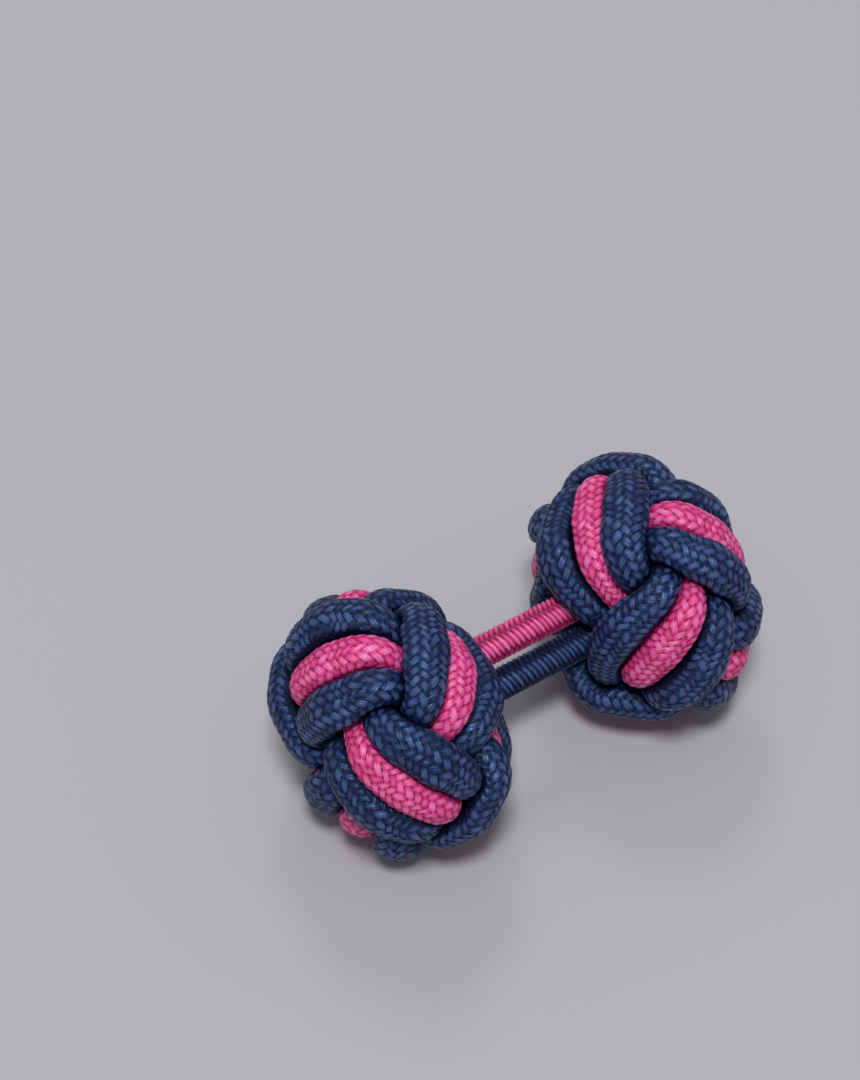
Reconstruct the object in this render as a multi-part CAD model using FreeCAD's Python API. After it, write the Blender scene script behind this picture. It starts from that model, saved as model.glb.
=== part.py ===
import FreeCAD, Part
import math
import os

os.makedirs("parts", exist_ok=True)
V = FreeCAD.Vector

# Lengths are in millimetres, Z is up, and X runs along the link from knot A to knot B.
# The origin is on the surface that the cufflink lies on, below the middle of the link.

# Braided cord: the braid sheath and the elastic core inside it
cord_diameter = 1.0
cord_gap = 0.08
elastic_diameter = 0.3
elastic_clearance = 0.03
end_gap = 1.6

# Counts of the knot: it is led round three times, with four bights at each pole, by three cords side by side
lead_count = 3
bight_count = 4
strand_places = {"navy_outer": 1, "pink": 0, "navy_inner": -1}
end_waves = {"navy_outer": 0, "pink": 2, "navy_inner": 5}
points_per_wave = 8

# Shape of the knot, in shares of the pitch from one cord to the next
band_radius_share = 4.7
strand_step_share = 1.19
wave_depth_share = 0.8
pink_sink_share = 0.38
wave_steepness_share = 0.4
spread_share = 0.14
squat_share = 0.92
bight_point_share = 0.02
bight_latitude_deg = 55.0
mouth_shift_deg = 4.0
sway_deg = -11.5

# The two knots, the link cords between them and the flats that they lie on
knot_spacing = 13.7
knot_a_roll_deg = -10.0
knot_b_roll_deg = 6.0
link_spacing = 1.7
link_roll_deg = 50.0
link_end_depth = 1.0
flat_depth = 0.3

# Filler ball in each knot, and the thread binding that is let into it around the link cords
filler_clearance = 0.05
socket_clearance = 0.05
binding_wall = 0.35
binding_length = 0.9
binding_clearance = 0.04
binding_depth = 1.6

# Working values
overrun = 0.5
tangent_step_deg = 0.01
low_wave_deg = 270.0
skipped_diameters = 3
straight_limit = 1e-7
points_per_arc = 4

pitch = cord_diameter + cord_gap
cord_radius = cord_diameter / 2
bore_radius = elastic_diameter / 2 + elastic_clearance
band_radius = band_radius_share * pitch
wave_depth = wave_depth_share * pitch
wave_count = 2 * bight_count
tangent_step = math.radians(tangent_step_deg)


def band_direction(turn):
    # Middle of the band of cords on the unit sphere, at an angle that runs once round for the whole closed lead
    x = bight_count * turn
    climb = math.sin(x) + bight_point_share * math.sin(3 * x)
    latitude = math.radians(bight_latitude_deg) * climb + math.radians(mouth_shift_deg)
    longitude = lead_count * turn + math.radians(sway_deg) * math.sin(2 * x)
    level = math.cos(latitude)
    return V(level * math.cos(longitude), level * math.sin(longitude), math.sin(latitude))


def strand_point(place, turn):
    # One cord of the band: stepped aside along the sphere, and raised and lowered at the crossings
    x = bight_count * turn
    middle = band_direction(turn)
    ahead = band_direction(turn + tangent_step) - band_direction(turn - tangent_step)
    aside = middle.cross(ahead).normalize()
    wave = math.sin(2 * x)
    step = place * strand_step_share * pitch * (1 + spread_share * wave * wave)
    direction = (middle * band_radius + aside * step).normalize()
    top = math.sqrt(1 + wave_steepness_share ** 2)
    level = wave * top / math.sqrt(wave * wave + wave_steepness_share ** 2)
    sink = pink_sink_share * pitch if place == 0 else 0
    point = direction * (band_radius + wave_depth * level - sink)
    return V(point.x, point.y, point.z * squat_share)


def strand_tangent(place, turn):
    ahead = strand_point(place, turn + tangent_step)
    return (ahead - strand_point(place, turn - tangent_step)).normalize()


def arc_points(start, tangent, end):
    # Start, middle and end of the arc that leaves start along tangent, and its radius
    chord = end - start
    across = chord - tangent * chord.dot(tangent)
    if across.Length < straight_limit * chord.Length:
        return (start, (start + end) / 2, end), None
    radius = chord.dot(chord) / (2 * across.Length)
    centre = start + across.normalize() * radius
    outward = ((start - centre) + (end - centre)).normalize()
    return (start, centre + outward * radius, end), radius


def biarc(start, tangent, end, end_tangent):
    # Two arcs that join with one tangent between two points with given tangents
    chord = end - start
    both = tangent + end_tangent
    turn = 2 * (1 - tangent.dot(end_tangent))
    along = chord.dot(both)
    if turn < straight_limit:
        reach = chord.dot(chord) / (2 * along)
    else:
        reach = (math.sqrt(along * along + turn * chord.dot(chord)) - along) / turn
    first = start + tangent * reach
    second = end - end_tangent * reach
    joint = (first + second) / 2
    middle_tangent = (second - first).normalize()
    return [arc_points(start, tangent, joint), arc_points(joint, middle_tangent, end)]


def strand_arcs(place, end_wave):
    # The open path of one cord: its two ends lie under a crossing, each a straight run on from the last arc
    low_turn = (math.radians(low_wave_deg) + end_wave * 2 * math.pi) / wave_count
    speed = (strand_point(place, low_turn + tangent_step) - strand_point(place, low_turn)).Length / tangent_step
    short = (cord_diameter + end_gap / 2) / speed
    first = low_turn + short
    last = low_turn + 2 * math.pi - short
    spans = points_per_wave * wave_count
    turns = [first + (last - first) * i / spans for i in range(spans + 1)]
    points = [strand_point(place, turn) for turn in turns]
    tangents = [strand_tangent(place, turn) for turn in turns]
    arcs = []
    for i in range(spans):
        arcs += biarc(points[i], tangents[i], points[i + 1], tangents[i + 1])
    start_run = (points[0] - tangents[0] * cord_diameter, points[0])
    end_run = (points[-1], points[-1] + tangents[-1] * cord_diameter)
    return start_run, arcs, end_run


def strand_wire(path):
    start_run, arcs, end_run = path
    edges = [Part.LineSegment(*start_run).toShape()]
    for points, radius in arcs:
        if radius is None:
            edges.append(Part.LineSegment(points[0], points[2]).toShape())
        else:
            edges.append(Part.Arc(*points).toShape())
    edges.append(Part.LineSegment(*end_run).toShape())
    return Part.Wire(edges)


def tube(wire, path, radius):
    start, after = path[0]
    circle = Part.Wire(Part.makeCircle(radius, start, after - start))
    return wire.makePipeShell([circle], True, False)


def path_points(path):
    start_run, arcs, end_run = path
    found = [start_run[0], (start_run[0] + start_run[1]) / 2]
    for points, radius in arcs:
        if radius is None:
            edge = Part.LineSegment(points[0], points[2]).toShape()
        else:
            edge = Part.Arc(*points).toShape()
        found += edge.discretize(points_per_arc)[:-1]
    return found + [end_run[0], (end_run[0] + end_run[1]) / 2, end_run[1]]


def least_distance(one, other, skip):
    # Least distance between the points of two paths; on one path, points within skip along it don't count
    least = None
    for i, a in enumerate(one):
        for k, b in enumerate(other):
            if skip and abs(i - k) < skip:
                continue
            distance = a.distanceToPoint(b)
            if least is None or distance < least:
                least = distance
    return least


# The cords of one knot, wound about +Z with the link's mouth at -Z
paths = {name: strand_arcs(place, end_waves[name]) for name, place in strand_places.items()}
points = {name: path_points(path) for name, path in paths.items()}
sheaths = {}
elastics = {}
for name, path in paths.items():
    wire = strand_wire(path)
    sheaths[name] = tube(wire, path, cord_radius).cut(tube(wire, path, bore_radius))
    elastics[name] = tube(wire, path, elastic_diameter / 2)
    section = math.pi * (cord_radius ** 2 - bore_radius ** 2)
    tightest = min(radius for _, radius in path[1] if radius)
    skip = int(skipped_diameters * cord_diameter / (wire.Length / len(points[name])))
    own_gap = least_distance(points[name], points[name], skip) - cord_diameter
    print(name, "length", round(wire.Length, 2), "tightest arc", round(tightest, 3))
    print(name, "least gap to itself", round(own_gap, 3))
    print(name, "volume", round(sheaths[name].Volume, 3), "section times length", round(section * wire.Length, 3))

names = list(strand_places)
for i, name in enumerate(names):
    for other in names[i + 1:]:
        print("least gap", name, other, round(least_distance(points[name], points[other], 0) - cord_diameter, 3))

# Where the knots stand: the far pole of each points away from the link
knots = {"knot_a": (-1, knot_a_roll_deg), "knot_b": (1, knot_b_roll_deg)}


def knot_turn(side, roll_deg):
    # Rows of the turn that takes the wound cords to their place about the link's axis
    roll = math.radians(roll_deg)
    along = V(side, 0, 0)
    across = V(0, math.cos(roll), side * math.sin(roll))
    return across, along.cross(across), along


def turned(point, turn):
    across, aside, along = turn
    return across * point.x + aside * point.y + along * point.z


all_points = [point for found in points.values() for point in found]
knot_reach = max(point.Length for point in all_points) + cord_radius
drops = {}
for knot, (side, roll_deg) in knots.items():
    turn = knot_turn(side, roll_deg)
    drops[knot] = cord_radius - min(turned(point, turn).z for point in all_points)
axis_height = min(drops.values()) - flat_depth
print("axis height", round(axis_height, 3), {knot: round(drop, 3) for knot, drop in drops.items()})


def knot_centre(side):
    return V(side * knot_spacing / 2, 0, axis_height)


def placed(shape, side, roll_deg):
    across, aside, along = knot_turn(side, roll_deg)
    middle = knot_centre(side)
    moved = shape.copy()
    moved.Placement = FreeCAD.Placement(FreeCAD.Matrix(
        across.x, aside.x, along.x, middle.x,
        across.y, aside.y, along.y, middle.y,
        across.z, aside.z, along.z, middle.z,
        0, 0, 0, 1))
    return moved


def below_surface(side):
    # What is under the surface that the knots lie on
    middle = knot_centre(side)
    width = 2 * (knot_reach + overrun)
    corner = V(middle.x - width / 2, middle.y - width / 2, -knot_reach)
    return Part.makeBox(width, width, knot_reach, corner)


# Link cords: the pink one is above and behind, the navy one below and in front
link_turn = math.radians(link_roll_deg)
link_across = V(0, math.cos(link_turn), math.sin(link_turn))
link_aside = link_across * (link_spacing / 2)
link_middle = V(0, 0, axis_height)
link_places = {"pink": link_middle + link_aside, "navy": link_middle - link_aside}
link_end = knot_spacing / 2 - link_end_depth


def rod(place, radius, start, end):
    low = min(start, end)
    return Part.makeCylinder(radius, abs(end - start), V(low, place.y, place.z), V(1, 0, 0))


def round_both(radius, start, end):
    # A slot-shaped solid along X that holds a circle of this radius about each link cord
    low = min(start, end)
    length = abs(end - start)
    ends = [rod(place, radius, start, end) for place in link_places.values()]
    corner_lift = V(1, 0, 0).cross(link_across) * radius
    one = link_places["pink"]
    other = link_places["navy"]
    corners = [one + corner_lift, other + corner_lift, other - corner_lift, one - corner_lift]
    loop = [V(low, corner.y, corner.z) for corner in corners]
    middle = Part.Face(Part.makePolygon(loop + loop[:1])).extrude(V(length, 0, 0))
    return middle.fuse(ends).removeSplitter()


nodes = {}
for colour, place in link_places.items():
    cord = rod(place, cord_radius, -link_end, link_end)
    bore = rod(place, bore_radius, -link_end - overrun, link_end + overrun)
    nodes["link_" + colour + "_braid"] = cord.cut(bore)
    nodes["link_" + colour + "_elastic"] = rod(place, elastic_diameter / 2, -link_end, link_end)

filler_radius = min(point.Length for point in all_points) - cord_radius - filler_clearance
binding_inner = cord_radius + binding_clearance
binding_outer = binding_inner + binding_wall
print("filler diameter", round(2 * filler_radius, 3), "knot reach", round(knot_reach, 3))

for knot, (side, roll_deg) in knots.items():
    under = below_surface(side)
    for name in names:
        nodes[knot + "_" + name + "_braid"] = placed(sheaths[name], side, roll_deg).cut(under)
        nodes[knot + "_" + name + "_elastic"] = placed(elastics[name], side, roll_deg)
    middle = knot_centre(side)
    seat = middle.x - side * binding_depth
    mouth = middle.x - side * (filler_radius + overrun)
    top = seat - side * binding_length
    filler = Part.makeSphere(filler_radius, middle)
    for place in link_places.values():
        filler = filler.cut(rod(place, cord_radius + socket_clearance, side * (link_end + socket_clearance), mouth))
    nodes[knot + "_filler"] = filler.cut(round_both(binding_outer + binding_clearance, seat, mouth))
    ring = round_both(binding_outer, seat, top)
    nodes[knot + "_binding"] = ring.cut(round_both(binding_inner, seat + side * overrun, top - side * overrun))

turns = {knot: knot_turn(side, roll_deg) for knot, (side, roll_deg) in knots.items()}
for knot, (side, roll_deg) in knots.items():
    gaps = []
    for point in all_points:
        there = turned(point, turns[knot]) + knot_centre(side)
        if abs(there.x) < link_end:
            gaps += [(V(0, there.y, there.z) - place).Length for place in link_places.values()]
    print(knot, "least gap to the link cords", round(min(gaps) - cord_diameter, 3))

for name, shape in nodes.items():
    assert shape.isValid() and len(shape.Solids) == 1, name
    shape.Solids[0].exportStep("parts/" + name + ".step")
print(len(nodes), "nodes")
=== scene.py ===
import math

import bmesh
import bpy
import numpy as np
from mathutils import Matrix, Vector


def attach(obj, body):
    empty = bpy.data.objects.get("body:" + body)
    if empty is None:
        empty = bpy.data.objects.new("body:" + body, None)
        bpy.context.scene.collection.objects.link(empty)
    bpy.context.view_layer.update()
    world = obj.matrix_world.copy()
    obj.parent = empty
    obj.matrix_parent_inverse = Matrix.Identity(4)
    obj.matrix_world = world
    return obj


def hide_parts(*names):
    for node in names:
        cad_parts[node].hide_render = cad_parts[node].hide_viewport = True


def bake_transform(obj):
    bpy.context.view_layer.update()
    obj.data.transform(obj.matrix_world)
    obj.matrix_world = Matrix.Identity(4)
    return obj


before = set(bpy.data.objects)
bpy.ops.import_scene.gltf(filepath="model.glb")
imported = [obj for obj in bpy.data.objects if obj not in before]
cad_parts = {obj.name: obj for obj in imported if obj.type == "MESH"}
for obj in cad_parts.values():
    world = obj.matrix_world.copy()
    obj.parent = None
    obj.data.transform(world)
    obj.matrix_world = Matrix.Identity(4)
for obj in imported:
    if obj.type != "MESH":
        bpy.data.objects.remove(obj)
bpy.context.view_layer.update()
mm = 0.001
print("frame loaded")


# node trees: sockets behave like numbers, everything else comes through one method
class Wire:
    def __init__(self, tree, socket):
        self.tree = tree
        self.socket = socket

    def math(self, operation, a, b=None):
        node = self.tree.nodes.new("ShaderNodeMath")
        node.operation = operation
        for place, value in enumerate((a, b)):
            if isinstance(value, Wire):
                self.tree.links.new(value.socket, node.inputs[place])
            elif value is not None:
                node.inputs[place].default_value = value
        return Wire(self.tree, node.outputs[0])

    def __add__(self, other):
        return self.math("ADD", self, other)

    def __radd__(self, other):
        return self.math("ADD", other, self)

    def __sub__(self, other):
        return self.math("SUBTRACT", self, other)

    def __rsub__(self, other):
        return self.math("SUBTRACT", other, self)

    def __mul__(self, other):
        return self.math("MULTIPLY", self, other)

    def __rmul__(self, other):
        return self.math("MULTIPLY", other, self)

    def sine(self):
        return self.math("SINE", self)


class Finish:
    def __init__(self, name):
        self.material = bpy.data.materials.new(name)
        self.material.use_nodes = True
        self.tree = self.material.node_tree
        self.tree.nodes.clear()
        output = self.tree.nodes.new("ShaderNodeOutputMaterial")
        self.shader = self.tree.nodes.new("ShaderNodeBsdfPrincipled")
        self.tree.links.new(self.shader.outputs[0], output.inputs["Surface"])

    def feed(self, socket, value):
        if isinstance(value, Wire):
            self.tree.links.new(value.socket, socket)
        else:
            socket.default_value = value

    def node(self, kind, settings=None, out=0, **sockets):
        made = self.tree.nodes.new("ShaderNode" + kind)
        for key, value in (settings or {}).items():
            if key == "stops":
                while len(made.color_ramp.elements) < len(value):
                    made.color_ramp.elements.new(0.5)
                for stop, (place, colour) in zip(made.color_ramp.elements, value):
                    stop.position = place
                    stop.color = colour
            else:
                setattr(made, key, value)
        for key, value in sockets.items():
            self.feed(made.inputs[key], value)
        return Wire(self.tree, made.outputs[out])

    def attribute(self, name):
        return self.node("Attribute", {"attribute_name": name}, "Fac")

    def objectPlace(self):
        return self.node("TexCoord", None, "Object")

    def ramp(self, stops, amount):
        return self.node("ValToRGB", {"stops": stops}, "Color", Fac=amount)

    def set(self, **sockets):
        for key, value in sockets.items():
            self.feed(self.shader.inputs[key.replace("_", " ")], value)


def addObject(name, data):
    made = bpy.data.objects.new(name, data)
    bpy.context.scene.collection.objects.link(made)
    return made


# how the cufflink lies, in millimetres: the same frame as the solids
cufflink = dict(
    knotSpacing=13.7,
    axisHeight=5.76,
    linkSpacing=1.72,
    linkRoll=50.0,
    tableGap=0.02,
    sides={"knot_a": -1, "knot_b": 1},
    rolls={"knot_a": -6.0, "knot_b": 0.0},
    leans={"knot_a": (0.0, 9.0, 9.0), "knot_b": (0.0, 0.0, 3.0)},
    leanSpan=1.5,
)

# the knot: a band of three cords led three times round, four bights at each end, then drawn tight
knotLay = dict(
    leads=3,
    bights=4,
    places={"navy_outer": 1, "pink": 0, "navy_inner": -1},
    points=256,
    bandRadius=4.45,
    step=1.37,
    waveDepth=0.93,
    bightLatitude=58.0,
    widths={"navy_outer": 1.05, "pink": 0.85, "navy_inner": 1.05},
    swells={"navy_outer": 0.75, "pink": 1.15, "navy_inner": 0.75},
    swellPower=1.35,
    thickness=1.55,
    linkRoom=1.4,
    ownRoom=3.2,
    tightLength=72.0,
    coreRadius=2.6,
    coreSquat=0.7,
    farLimit=3.8,
    mouthLimit=4.0,
    ease=(1.07, 1.07, 0.955),
    poleClose=0.32,
    poleRing=1.1,
)

# how hard the cords are pulled and pushed in each round of drawing tight
drawing = dict(
    rounds=500,
    shorten=0.998,
    pullPasses=2,
    pull=0.25,
    smooth=0.06,
    limitGive=0.6,
    pushPasses=3,
    push=0.5,
    searchReach=1.2,
)

linkTilt = math.radians(cufflink["linkRoll"])
linkAside = np.array([0.0, math.cos(linkTilt), math.sin(linkTilt)])
linkMiddle = np.array([0.0, 0.0, cufflink["axisHeight"]])


def linkPlace(colour):
    return linkMiddle + linkAside * (cufflink["linkSpacing"] / 2 * (1 if colour == "pink" else -1))


def knotTurn(knot):
    side = cufflink["sides"][knot]
    roll = math.radians(cufflink["rolls"][knot])
    along = np.array([side, 0.0, 0.0])
    across = np.array([0.0, math.cos(roll), side * math.sin(roll)])
    return np.stack([across, np.cross(along, across), along])


def knotMiddle(knot):
    return np.array([cufflink["sides"][knot] * cufflink["knotSpacing"] / 2, 0.0, cufflink["axisHeight"]])


def unit(v):
    return v / np.linalg.norm(v, axis=-1, keepdims=True)


def cordWidths(lay, cord, count):
    # narrow where the cord is held under another band, swollen where it passes over one
    over = 0.5 + 0.5 * np.sin(4 * np.pi * lay["bights"] * np.arange(count) / count)
    return lay["widths"][cord] + lay["swells"][cord] * over ** lay["swellPower"]


def layBand(lay, knot):
    # the three cords side by side on a ball, over and under by turns, before they are drawn tight
    turn = np.linspace(0, 2 * np.pi, lay["points"], endpoint=False)
    nudge = 1e-4

    def direction(t):
        latitude = math.radians(lay["bightLatitude"]) * np.sin(lay["bights"] * t)
        longitude = lay["leads"] * t
        level = np.cos(latitude)
        return np.stack([level * np.cos(longitude), level * np.sin(longitude), np.sin(latitude)], -1)

    middle = direction(turn)
    aside = unit(np.cross(middle, direction(turn + nudge) - direction(turn - nudge)))
    wave = np.sin(2 * lay["bights"] * turn)
    cords = []
    for place in lay["places"].values():
        way = unit(middle * lay["bandRadius"] + aside * (lay["step"] * place))
        cords.append(way * (lay["bandRadius"] + lay["waveDepth"] * wave)[:, None])
    points = np.concatenate(cords)
    # the far side of the knot is pulled askew, the mouth stays round the link
    lean = knotTurn(knot) @ np.radians(cufflink["leans"][knot])
    share = np.clip(0.5 + points[:, 2] / lay["bandRadius"] / cufflink["leanSpan"], 0, 1)
    angle = (np.linalg.norm(lean) * share * share * (3 - 2 * share))[:, None]
    axis = unit(lean)
    aslant = np.cross(axis, points)
    return points * np.cos(angle) + aslant * np.sin(angle) + axis * (points @ axis)[:, None] * (1 - np.cos(angle))


def summed(spots, values, count):
    return np.stack([np.bincount(spots, values[:, k], count) for k in range(3)], 1)


def drawTight(points, lay, knot):
    # pulls the cords short until they press on each other, the bead inside, the link cords and the table
    turn = knotTurn(knot)
    up = turn[:, 2]
    linkWay = turn @ np.array([-cufflink["sides"][knot], 0.0, 0.0])
    linkSpots = [turn @ (linkAside * cufflink["linkSpacing"] / 2 * way) for way in (1, -1)]
    count = lay["points"]
    total = len(points)
    cord = np.repeat(np.arange(3), count)
    width = np.concatenate([cordWidths(lay, name, count) for name in lay["places"]])
    thick = lay["thickness"]
    step = np.tile(np.arange(count), 3)
    after = np.concatenate([np.roll(np.arange(count), -1) + k * count for k in range(3)])
    before = np.concatenate([np.roll(np.arange(count), 1) + k * count for k in range(3)])
    rest = np.array([np.linalg.norm(points[after] - points, axis=1)[cord == k].mean() for k in range(3)])
    apart = np.abs(step[:, None] - step[None])
    apart = np.minimum(apart, count - apart) * rest.mean()
    free = np.triu((cord[:, None] != cord[None]) | (apart > lay["ownRoom"]), 1)
    core = np.array([1.0, 1.0, lay["coreSquat"]])
    for _ in range(drawing["rounds"]):
        if rest.mean() * count > lay["tightLength"]:
            rest *= drawing["shorten"]
        for _ in range(drawing["pullPasses"]):
            gap = points[after] - points
            length = np.linalg.norm(gap, axis=1)
            pull = gap * (drawing["pull"] * (length - rest[cord]) / length)[:, None]
            points = points + pull - pull[before]
        points = points + drawing["smooth"] * ((points[after] + points[before]) / 2 - points)
        level = np.clip(points[:, 2], -lay["mouthLimit"], lay["farLimit"])
        points[:, 2] = level + drawing["limitGive"] * (points[:, 2] - level)
        square = (points ** 2).sum(1)
        distance = square[:, None] + square[None] - 2 * points @ points.T
        one, other = np.nonzero(free & (distance < (drawing["searchReach"] * width.max()) ** 2))
        beside = (width[one] + width[other]) / 2
        for _ in range(drawing["pushPasses"]):
            gap = points[other] - points[one]
            length = np.linalg.norm(gap, axis=1) + 1e-9
            upright = ((gap * unit((points[other] + points[one]) / core ** 2)).sum(1) / length) ** 2
            room = 1 / np.sqrt((1 - upright) / beside ** 2 + upright / thick ** 2)
            short = np.maximum(room - length, 0)
            push = gap * (drawing["push"] * short / length)[:, None]
            hits = np.bincount(one, short > 0, total) + np.bincount(other, short > 0, total)
            moved = summed(other, push, total) - summed(one, push, total)
            points = points + moved / np.maximum(hits, 1)[:, None]
            reach = np.linalg.norm(points / core, axis=1)
            points = points * np.maximum(1, (lay["coreRadius"] + thick / 2) / reach)[:, None]
            for spot in linkSpots:
                run = (points - spot) @ linkWay
                away = points - spot - run[:, None] * linkWay
                off = np.linalg.norm(away, axis=1)
                out = np.where(run > 0, np.maximum(lay["linkRoom"] - off, 0) / np.maximum(off, 1e-6), 0)
                points = points + away * out[:, None]
            sunk = np.maximum(thick / 2 - (points @ up + cufflink["axisHeight"]), 0)
            points = points + sunk[:, None] * up
        points[:, :2] -= points[:, :2].mean(0)
    # the bights at the far end are drawn together over the bead
    off = np.linalg.norm(points[:, :2], axis=1)
    near = np.where(points[:, 2] > 0, np.exp(-((off - lay["poleRing"]) ** 2)), 0)
    points[:, :2] *= (1 - lay["poleClose"] * near / off)[:, None]
    return points


def closedCurve(points, count):
    # evenly spaced points on a smooth loop through the given ones
    size = len(points)
    finer = 12
    fine = np.arange(size * finer) / finer
    base = np.floor(fine).astype(int)
    f = (fine - base)[:, None]
    a, b, c, d = (points[(base + k) % size] for k in (-1, 0, 1, 2))
    curve = 0.5 * (2 * b + (c - a) * f + (2 * a - 5 * b + 4 * c - d) * f ** 2 + (3 * b - a - 3 * c + d) * f ** 3)
    run = np.concatenate([[0], np.cumsum(np.linalg.norm(np.roll(curve, -1, 0) - curve, axis=1))])
    want = np.linspace(0, run[-1], count, endpoint=False)
    looped = np.vstack([curve, curve[:1]])
    return np.stack([np.interp(want, run, looped[:, k]) for k in range(3)], 1), run[-1]


# the plaits: slanting leaves of yarn in columns round a cord, mirrored from column to column
knotPlait = dict(
    columns=12,
    pitch=0.37,
    slant=42.0,
    relief=0.15,
    leafLonger=1.3,
    leafWider=1.3,
    groove=0.1,
    wander=0.03,
    ringsPerLeaf=6,
    sides=60,
)
linkPlait = dict(
    columns=4,
    pitch=0.26,
    slant=18.0,
    relief=0.2,
    leafLonger=1.2,
    leafWider=1.0,
    groove=0.0,
    wander=0.0,
    ringsPerLeaf=6,
    sides=48,
)

# shared by every leaf: how flat its crown is, how wide its groove, and how its tone and its place stray
leaf = dict(crown=0.85, grooveWidth=0.2, toneRow=12.9898, toneColumn=78.233, toneScale=43758.5453)
stray = dict(leaves=9, twist=5)


def plaitLeaves(plait, along, turn, pitch, girth):
    columns = plait["columns"]
    slant = math.radians(plait["slant"])
    columnWidth = girth / columns
    halfLength = columnWidth / 2 / math.cos(slant) * plait["leafLonger"]
    halfWidth = pitch * math.cos(slant) / 2 * plait["leafWider"]
    best = dict(height=np.full(along.shape, -1.0))
    for offset in (-1, 0, 1):
        column = np.floor(turn * columns) + offset
        x = (turn * columns - column - 0.5) * columnWidth
        odd = np.mod(column, 2)
        way = 1 - 2 * odd
        row = along / pitch - 0.5 * odd - way * math.tan(slant) * x / pitch
        nearest = np.round(row)
        lengthways = (x / math.cos(slant) + way * math.sin(slant) * pitch * (row - nearest)) / halfLength
        across = (row - nearest) * pitch * math.cos(slant) / halfWidth
        dome = np.sqrt(np.maximum(1 - lengthways ** 2 - leaf["crown"] * across ** 2, 0))
        relief = dome * (1 - plait["groove"] * np.exp(-((across / leaf["grooveWidth"]) ** 2)))
        # a random tone for each leaf: partly the yarn's own varied tone, partly a painted sheen standing in for how
        # each leaf catches the light
        mixed = nearest * leaf["toneRow"] + np.mod(column, columns) * leaf["toneColumn"]
        tone = np.mod(np.sin(mixed) * leaf["toneScale"], 1)
        wins = dome > best["height"]
        found = dict(height=dome, relief=relief, across=across, tone=tone)
        best = {key: np.where(wins, value, best.get(key, value)) for key, value in found.items()}
    return best


def braidTube(name, plait, centres, outward, tangents, radii, press, closed):
    # a grid rolled into a tube round the line, raised by the plait
    rings, sides = radii.shape
    spans = rings - (0 if closed else 1)
    bm = bmesh.new()
    bmesh.ops.create_grid(bm, x_segments=spans, y_segments=sides, size=0.5)
    mesh = bpy.data.meshes.new(name)
    bm.to_mesh(mesh)
    bm.free()
    flat = np.zeros(len(mesh.vertices) * 3)
    mesh.vertices.foreach_get("co", flat)
    flat = flat.reshape(-1, 3)
    ringNo = np.rint((flat[:, 0] + 0.5) * spans).astype(int)
    sideNo = np.rint((flat[:, 1] + 0.5) * sides).astype(int)
    run = np.linalg.norm(np.diff(centres, axis=0), axis=1).mean()
    ring, side = ringNo % rings, sideNo % sides
    girth = 2 * np.pi * np.median(radii)
    waves = round(rings / plait["ringsPerLeaf"] / stray["leaves"])
    swing = 2 * np.pi * ringNo / rings * waves + stray["twist"] * np.sin(4 * np.pi * side / sides)
    wander = plait["wander"] * np.sin(swing)
    leaves = plaitLeaves(plait, ring * run + wander * closed, side / sides, run * plait["ringsPerLeaf"], girth)
    # painted shade where other cords press on this one
    leaves["press"] = press[ring, side]
    angle = 2 * np.pi * side / sides
    third = np.cross(tangents, outward)
    way = outward[ring] * np.cos(angle)[:, None] + third[ring] * np.sin(angle)[:, None]
    radius = radii[ring, side] + plait["relief"] * (leaves["relief"] - 1)
    place = (centres[ring] + way * radius[:, None]) * mm
    place[:, 2] = np.maximum(place[:, 2], cufflink["tableGap"] * mm)
    mesh.vertices.foreach_set("co", place.ravel())
    for key in ("relief", "across", "tone", "press"):
        layer = mesh.attributes.new("plait" + key.capitalize(), "FLOAT", "POINT")
        layer.data.foreach_set("value", leaves[key].astype(np.float32))
    bm = bmesh.new()
    bm.from_mesh(mesh)
    bmesh.ops.remove_doubles(bm, verts=bm.verts, dist=1e-7)
    bmesh.ops.recalc_face_normals(bm, faces=bm.faces)
    bm.to_mesh(mesh)
    bm.free()
    mesh.shade_smooth()
    return addObject(name, mesh)


# the section of each cord in millimetres, and how far it feels what presses on it
sections = {
    "navy": dict(spread=0.26, high=0.86),
    "pink": dict(spread=0.12, high=0.8),
    "link": dict(wide=0.77, high=0.77),
}
pressing = dict(feels=2.4, facing=0.05, unlimited=9.0, leastRadius=0.15, power=9)


def pressedRadii(centres, outward, tangents, section, sides, others, floor=True):
    # the section of a soft cord: an oval where it is free, flat where others press on it, and how much painted
    # shade other cords give it
    angle = 2 * np.pi * np.arange(sides) / sides
    third = np.cross(tangents, outward)
    way = outward[:, None] * np.cos(angle)[None, :, None] + third[:, None] * np.sin(angle)[None, :, None]
    wide = np.broadcast_to(section["wide"], len(centres))[:, None]
    oval = 1 / np.sqrt((np.cos(angle)[None] / section["high"]) ** 2 + (np.sin(angle)[None] / wide) ** 2)
    limit = np.full(way.shape[:2], pressing["unlimited"])

    def reachTo(depth, facing):
        faced = np.maximum(facing, pressing["facing"])
        return np.where(facing > pressing["facing"], depth / faced, pressing["unlimited"])

    def held(limit):
        power = pressing["power"]
        return (oval ** -power + np.maximum(limit, pressing["leastRadius"]) ** -power) ** (-1 / power)

    for points, skip in others:
        gap = points[None] - centres[:, None]
        length = np.linalg.norm(gap, axis=2)
        near = length < pressing["feels"]
        if skip is not None:
            near &= skip
        ring, found = np.nonzero(near)
        toward = gap[ring, found] / length[ring, found][:, None]
        facing = np.einsum("rsk,rk->rs", way[ring], toward)
        np.minimum.at(limit, ring, reachTo(0.5 * length[ring, found][:, None], facing))
    # the table flattens a cord too, but only other cords give it painted shade
    press = 1 - held(limit) / oval
    if floor:
        limit = np.minimum(limit, reachTo(centres[:, 2][:, None] - cufflink["tableGap"], -way[:, :, 2]))
    return held(limit), press


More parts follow.
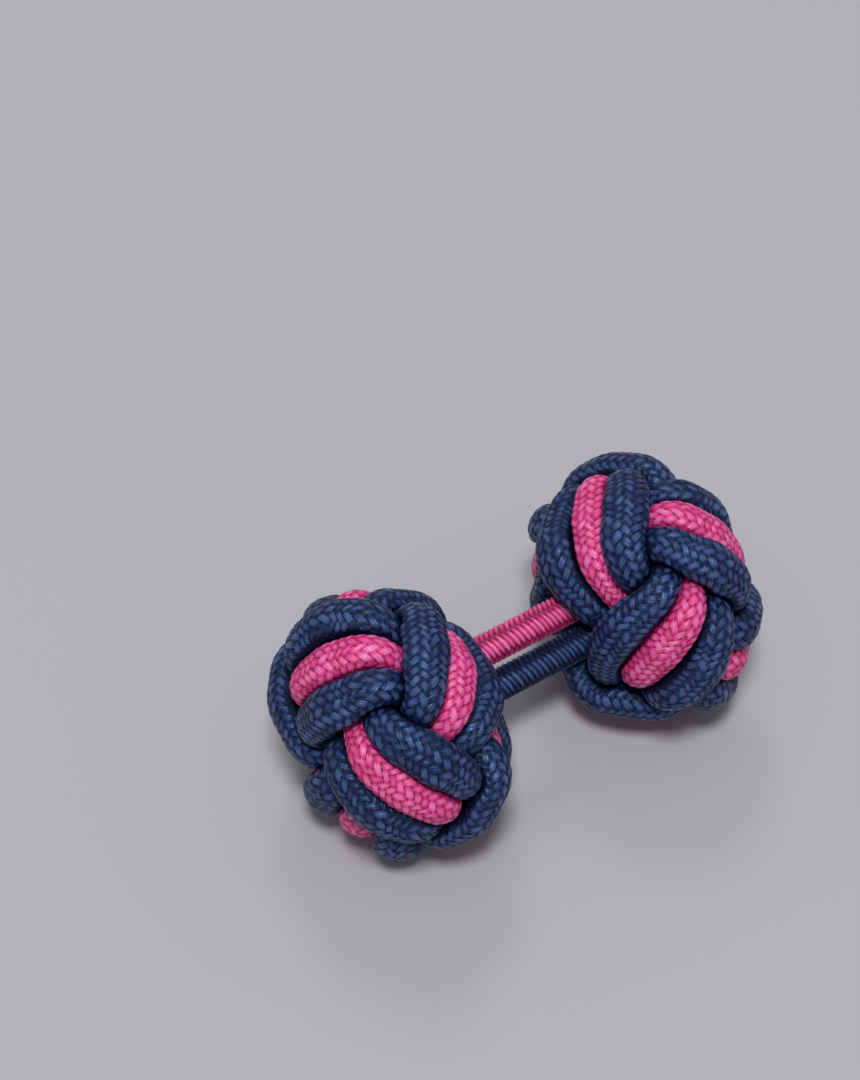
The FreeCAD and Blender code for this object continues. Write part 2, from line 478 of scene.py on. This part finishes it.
# knots drawn tight
tightCords = {}
for knot in cufflink["sides"]:
    tight = drawTight(layBand(knotLay, knot), knotLay, knot)
    world = (tight * knotLay["ease"]) @ knotTurn(knot) + knotMiddle(knot)
    tightCords[knot] = dict(zip(knotLay["places"], world.reshape(3, -1, 3)))
    print(knot, "drawn tight, reach", world.min(0).round(2), world.max(0).round(2))


def colourOf(cord):
    return "pink" if "pink" in cord else "navy"


# braid finish: satin leaves with painted shade in the creases between leaves and where cords press together, a
# painted sheen on each leaf's crown, and fine filaments along each leaf
# each colour as a shaded copy for the painted crease shade, its own body colour, and a lit copy for the painted
# sheen on the leaf crowns
braidLook = {
    "navy": dict(
        shaded=(0.0008, 0.001, 0.005, 1),
        body=(0.0035, 0.01, 0.058, 1),
        lit=(0.07, 0.12, 0.3, 1),
        gloss=(0.36, 0.56, 1, 1),
    ),
    "pink": dict(
        shaded=(0.24, 0.003, 0.048, 1),
        body=(0.76, 0.032, 0.24, 1),
        lit=(0.94, 0.24, 0.52, 1),
        gloss=(1, 0.85, 0.92, 1),
    ),
}
# the ramp stops and the shares with which leaf height, leaf tone, filaments and pressing cords paint shade and
# sheen into the colour, then roughness, filaments and bump
satin = dict(
    stops=dict(shaded=0.2, body=0.6, lit=1.0),
    reliefShade=1.3,
    toneShade=0.26,
    filamentShade=0.06,
    pressShade=2.4,
    shadeDrop=0.5,
    creaseRoughness=0.78,
    reliefPolish=0.42,
    tonePolish=0.1,
    specular=0.7,
    filaments=14.0,
    speckShare=3.0,
    speckScale=9000.0,
    speckDetail=2.0,
    threadShare=0.5,
    bumpStrength=0.5,
    bumpDepth=0.00003,
)


def braidFinish(colour):
    look = braidLook[colour]
    finish = Finish(colour + "SatinBraid")
    relief = finish.attribute("plaitRelief")
    across = finish.attribute("plaitAcross")
    tone = finish.attribute("plaitTone")
    press = finish.attribute("plaitPress")
    speck = finish.node(
        "TexNoise",
        None,
        "Fac",
        Vector=finish.objectPlace(),
        Scale=satin["speckScale"],
        Detail=satin["speckDetail"],
    )
    filament = (across * satin["filaments"] + speck * satin["speckShare"]).sine()
    # painted shade and sheen: low leaf relief darkens towards the shaded copy in the creases, high relief lightens
    # towards the lit copy on the crowns, and the random leaf tone adds a painted sheen that differs from leaf to
    # leaf
    shade = relief * satin["reliefShade"] + tone * satin["toneShade"] + filament * satin["filamentShade"]
    # painted shade in the joins where cords press on each other
    shade = shade - press * satin["pressShade"] - satin["shadeDrop"]
    roughness = satin["creaseRoughness"] - relief * satin["reliefPolish"] - tone * satin["tonePolish"]
    thread = filament * satin["threadShare"] + speck * satin["threadShare"]
    finish.set(
        Base_Color=finish.ramp([(stop, look[key]) for key, stop in satin["stops"].items()], shade),
        Roughness=roughness,
        Specular_IOR_Level=satin["specular"],
        Specular_Tint=look["gloss"],
        Normal=finish.node(
            "Bump",
            None,
            "Normal",
            Strength=satin["bumpStrength"],
            Distance=satin["bumpDepth"],
            Height=thread,
        ),
    )
    return finish.material


braids = {colour: braidFinish(colour) for colour in braidLook}
print("braid finishes made")

# the link's middle lines, as far as the knots feel them
linkRun = dict(low=-5.4, high=5.8, points=60)
linkLine = {}
for colour in ("pink", "navy"):
    spots = np.tile(linkPlace(colour), (linkRun["points"], 1))
    spots[:, 0] = np.linspace(linkRun["low"], linkRun["high"], linkRun["points"])
    linkLine[colour] = spots

# knot cords
knotCord = dict(lengthPoints=200, feltPoints=320, ownSkip=3.0)
for knot, cords in tightCords.items():
    middle = knotMiddle(knot)
    for cord, points in cords.items():
        _, length = closedCurve(points, knotCord["lengthPoints"])
        rings = round(length / knotPlait["pitch"]) * knotPlait["ringsPerLeaf"]
        centres, length = closedCurve(points, rings)
        tangents = unit(np.roll(centres, -1, 0) - np.roll(centres, 1, 0))
        outward = centres - middle
        outward = unit(outward - tangents * (outward * tangents).sum(1)[:, None])
        others = [(line, None) for line in linkLine.values()]
        for other, otherPoints in cords.items():
            felt = knotCord["feltPoints"]
            spots, _ = closedCurve(otherPoints, felt)
            skip = None
            if other == cord:
                apart = np.abs(np.arange(rings)[:, None] / rings - np.arange(felt)[None] / felt)
                skip = np.minimum(apart, 1 - apart) * length > knotCord["ownSkip"]
            others.append((spots, skip))
        section = dict(sections[colourOf(cord)])
        section["wide"] = cordWidths(knotLay, cord, rings) / 2 + section["spread"]
        radii, press = pressedRadii(centres, outward, tangents, section, knotPlait["sides"], others)
        name = knot.replace("knot_", "knot") + "".join(word.capitalize() for word in cord.split("_")) + "Cord"
        piece = braidTube(name, knotPlait, centres, outward, tangents, radii, press, True)
        piece.data.materials.append(braids[colourOf(cord)])
        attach(piece, knot)
        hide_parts(f"{knot}_{cord}_braid", f"{knot}_{cord}_elastic")
        colourOf(cord) + "_braid"
        print(name, "length", round(length, 1), "faces", len(piece.data.polygons))

# link cords: four lengths of each, one over each joint
linkCuts = {
    "Root": dict(low=-5.28, high=-0.96, fromBody="knot_a", toBody="link_root", start=-2.4, end=-0.96),
    "Near": dict(low=-0.96, high=0.96, fromBody="link_root", toBody="link_middle", start=-0.96, end=0.96),
    "Far": dict(low=0.96, high=2.4, fromBody="link_middle", toBody="link_tip", start=0.96, end=2.4),
    "Tip": dict(low=2.4, high=5.52, fromBody="link_tip", toBody="knot_b", start=2.4, end=5.52),
}
for colour, other in (("pink", "navy"), ("navy", "pink")):
    for cut, run in linkCuts.items():
        rings = round((run["high"] - run["low"]) / linkPlait["pitch"]) * linkPlait["ringsPerLeaf"] + 1
        centres = np.tile(linkPlace(colour), (rings, 1))
        centres[:, 0] = np.linspace(run["low"], run["high"], rings)
        tangents = np.tile([1.0, 0.0, 0.0], (rings, 1))
        outward = np.tile([0.0, 0.0, 1.0], (rings, 1))
        others = [(linkLine[other], None)]
        radii, press = pressedRadii(centres, outward, tangents, sections["link"], linkPlait["sides"], others, False)
        name = "link" + colour.capitalize() + cut + "Cord"
        piece = braidTube(name, linkPlait, centres, outward, tangents, radii, press, False)
        piece.data.materials.append(braids[colour])
        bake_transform(piece)
        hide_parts(f"link_{colour}_braid", f"link_{colour}_elastic")
print("link cords made")

# what is hidden in the knots
beadLook = dict(
    grainScale=900.0,
    grainDetail=4.0,
    stops=[(0.3, (0.012, 0.014, 0.03, 1)), (0.7, (0.02, 0.024, 0.05, 1))],
    roughness=0.7,
)
threadLook = dict(
    turnScale=1500.0,
    distortion=0.4,
    stops=[(0.2, (0.5, 0.49, 0.46, 1)), (0.8, (0.78, 0.77, 0.73, 1))],
    roughness=0.8,
)


def beadFinish():
    finish = Finish("dyedBead")
    place = finish.objectPlace()
    grain = finish.node(
        "TexNoise", None, "Fac", Vector=place, Scale=beadLook["grainScale"], Detail=beadLook["grainDetail"]
    )
    finish.set(Base_Color=finish.ramp(beadLook["stops"], grain), Roughness=beadLook["roughness"])
    return finish.material


def threadFinish():
    finish = Finish("bindingThread")
    turns = finish.node(
        "TexWave",
        {"bands_direction": "X"},
        "Fac",
        Vector=finish.objectPlace(),
        Scale=threadLook["turnScale"],
        Distortion=threadLook["distortion"],
    )
    finish.set(Base_Color=finish.ramp(threadLook["stops"], turns), Roughness=threadLook["roughness"])
    return finish.material


hiddenFinish = {"filler": beadFinish(), "binding": threadFinish()}
for knot in cufflink["sides"]:
    for piece, finish in hiddenFinish.items():
        node = bpy.data.objects.get(f"{knot}_{piece}")
        node.data.materials.clear()
        node.data.materials.append(finish)
print("hidden pieces finished")

# floor, light and camera
floorLook = dict(size=3.0, colour=(0.434, 0.43, 0.462, 1), roughness=0.9, specular=0.1)
bm = bmesh.new()
bmesh.ops.create_grid(bm, x_segments=2, y_segments=2, size=floorLook["size"])
floorMesh = bpy.data.meshes.new("paleFloor")
bm.to_mesh(floorMesh)
bm.free()
floor = addObject("paleFloor", floorMesh)
floorFinish = Finish("palePaper")
floorFinish.set(
    Base_Color=floorLook["colour"],
    Roughness=floorLook["roughness"],
    Specular_IOR_Level=floorLook["specular"],
)
floorMesh.materials.append(floorFinish.material)

studio = dict(
    key=dict(place=(-0.15, -0.21, 0.65), size=0.13, power=3.3),
    fill=dict(place=(0.2, 0.4, 0.6), size=0.2, power=0.8),
    aim=(0, 0, 0.006),
    world=(1.0, 1.0, 1.0, 1),
    worldStrength=0.3,
)
for lamp in ("key", "fill"):
    look = studio[lamp]
    light = bpy.data.lights.new(lamp + "Softbox", "AREA")
    light.size = look["size"]
    light.energy = look["power"]
    lampObject = addObject(lamp + "Softbox", light)
    lampObject.location = look["place"]
    lampWay = Vector(studio["aim"]) - Vector(look["place"])
    lampObject.rotation_euler = lampWay.to_track_quat("-Z", "Y").to_euler()
world = bpy.data.worlds.new("studioRoom")
world.use_nodes = True
background = world.node_tree.nodes["Background"]
background.inputs["Color"].default_value = studio["world"]
background.inputs["Strength"].default_value = studio["worldStrength"]
bpy.context.scene.world = world

# the photograph's view: the link's middle, its slope and its scale in the picture, in pixels and millimetres
photoView = dict(
    elevation=50.0,
    linkAngle=32.9,
    distance=140.0,
    imageSize=(860, 1080),
    middlePixel=(518.0, 654.0),
    pixelsPerMm=22.4,
    sensorWidth=36.0,
    clip=(0.005, 20),
)
rise = math.radians(photoView["elevation"])
swing = math.radians(photoView["linkAngle"])
away = Vector((math.sin(swing), math.cos(swing), 0))
right = Vector((math.cos(swing), -math.sin(swing), 0))
toward = Vector((0, 0, 1)) * math.sin(rise) - away * math.cos(rise)
lensUp = toward.cross(right)
offRight, offDown = (
    (pixel - size / 2) / photoView["pixelsPerMm"]
    for pixel, size in zip(photoView["middlePixel"], photoView["imageSize"])
)
aim = Vector((0, 0, cufflink["axisHeight"])) - right * offRight + lensUp * offDown
camera = bpy.data.cameras.new("photoCamera")
camera.sensor_width = photoView["sensorWidth"]
camera.lens = photoView["pixelsPerMm"] * camera.sensor_width / photoView["imageSize"][1] * photoView["distance"]
camera.clip_start, camera.clip_end = photoView["clip"]
cameraObject = addObject("photoCamera", camera)
cameraTurn = Matrix((right, lensUp, toward)).transposed().to_4x4()
cameraObject.matrix_world = Matrix.Translation((aim + toward * photoView["distance"]) * mm) @ cameraTurn
bpy.context.scene.camera = cameraObject
bpy.context.scene.view_settings.view_transform = "Standard"
print("studio set")
